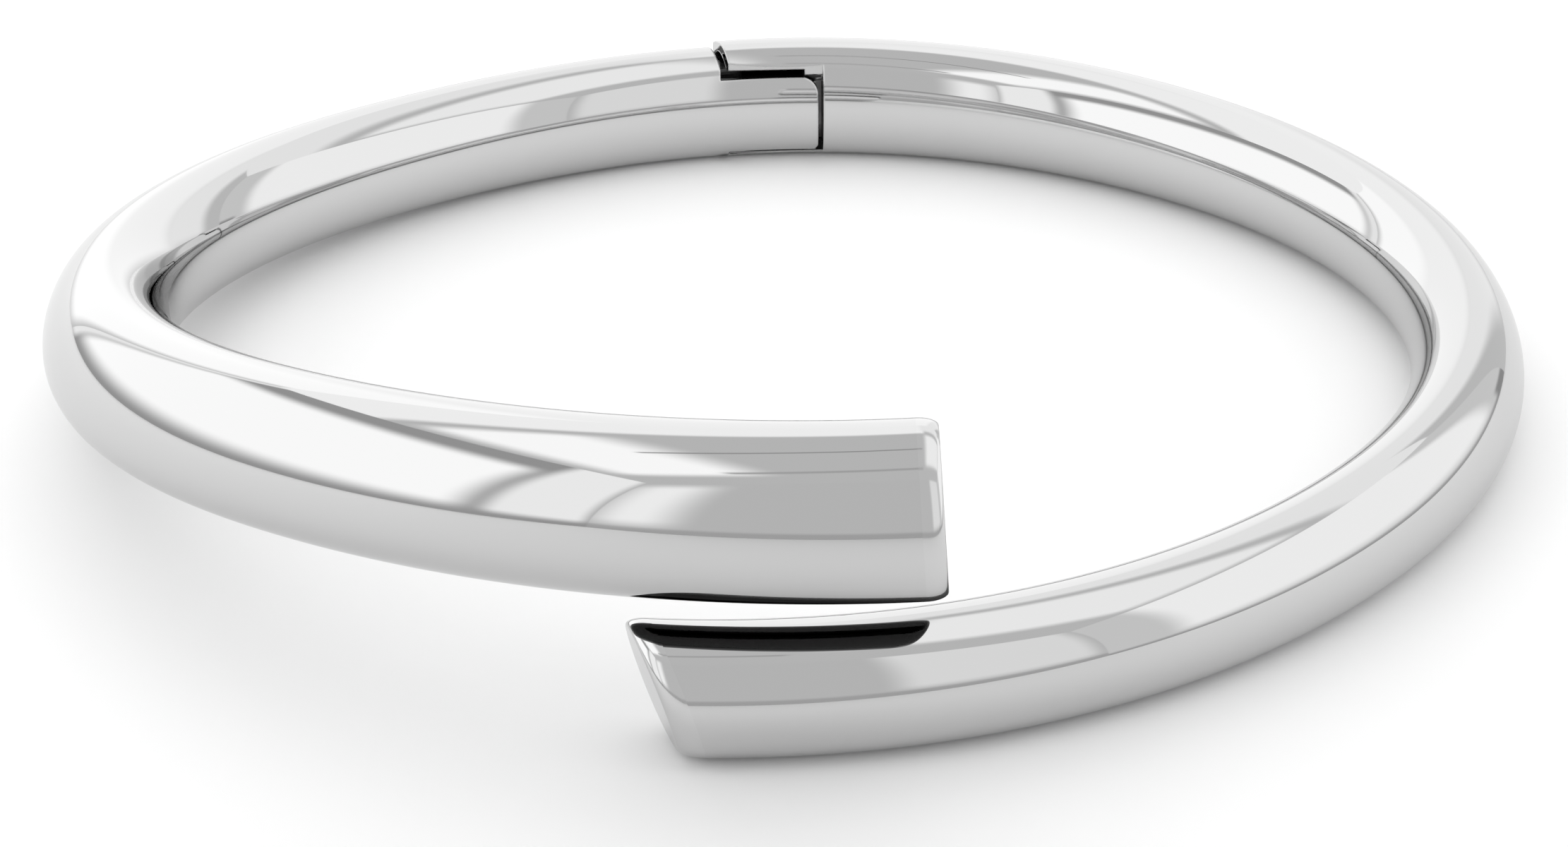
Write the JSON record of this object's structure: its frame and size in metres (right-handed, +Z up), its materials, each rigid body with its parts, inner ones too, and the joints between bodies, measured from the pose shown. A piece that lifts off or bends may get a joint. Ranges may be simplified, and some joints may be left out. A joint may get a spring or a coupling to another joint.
{
  "type": "bangle bracelet",
  "caption": "Hinged crossover bangle: two tapered hollow arms on a sprung hinge, one free end passing over the other.",
  "frame": {"origin": "centre of the closed bangle's outside box, on the surface it lies on", "axes": "+Z up, across the ring's plane; +Y towards the hinge; the upper arm is on the -X side, the lower arm on the +X side, and the free ends are at -Y"},
  "size_m": [0.0666, 0.0622, 0.0153],
  "materials": {
    "polished_steel": "mirror polished stainless steel",
    "cap_steel": "polished stainless steel, slightly softer than the tubes",
    "hinge_steel": "machined stainless steel",
    "pin_steel": "drawn stainless steel",
    "spring_steel": "spring wire"
  },
  "bodies": {
    "upper_arm": {"upper_arm_shell": "polished_steel", "upper_end_cap": "cap_steel", "upper_hinge_block": "hinge_steel", "hinge_pin": "pin_steel", "plunger_spring": "spring_steel", "spring_stop": "pin_steel"},
    "lower_arm": {"lower_arm_shell": "polished_steel", "lower_end_cap": "cap_steel", "lower_hinge_block": "hinge_steel"},
    "plunger": {"spring_plunger": "pin_steel"}
  },
  "joints": [
    {"name": "arm_hinge", "type": "hinge", "parent": "upper_arm", "child": "lower_arm", "pos_m": [-0.0015, 0.02945, 0.0029], "axis": [0, 0, 1], "range_deg": [0, 32], "stiffness_Nm_per_rad": 0.05, "springref_deg": -22.92},
    {"name": "plunger_slide", "type": "slide", "parent": "upper_arm", "child": "plunger", "axis": [-0.9659, -0.2588, 0], "range_m": [0, 0.0003], "deforming": ["plunger_spring"]}
  ],
  "couplings": [
    {"joint": "plunger_slide", "follows": "arm_hinge", "m_per_rad": 0.00053}
  ]
}
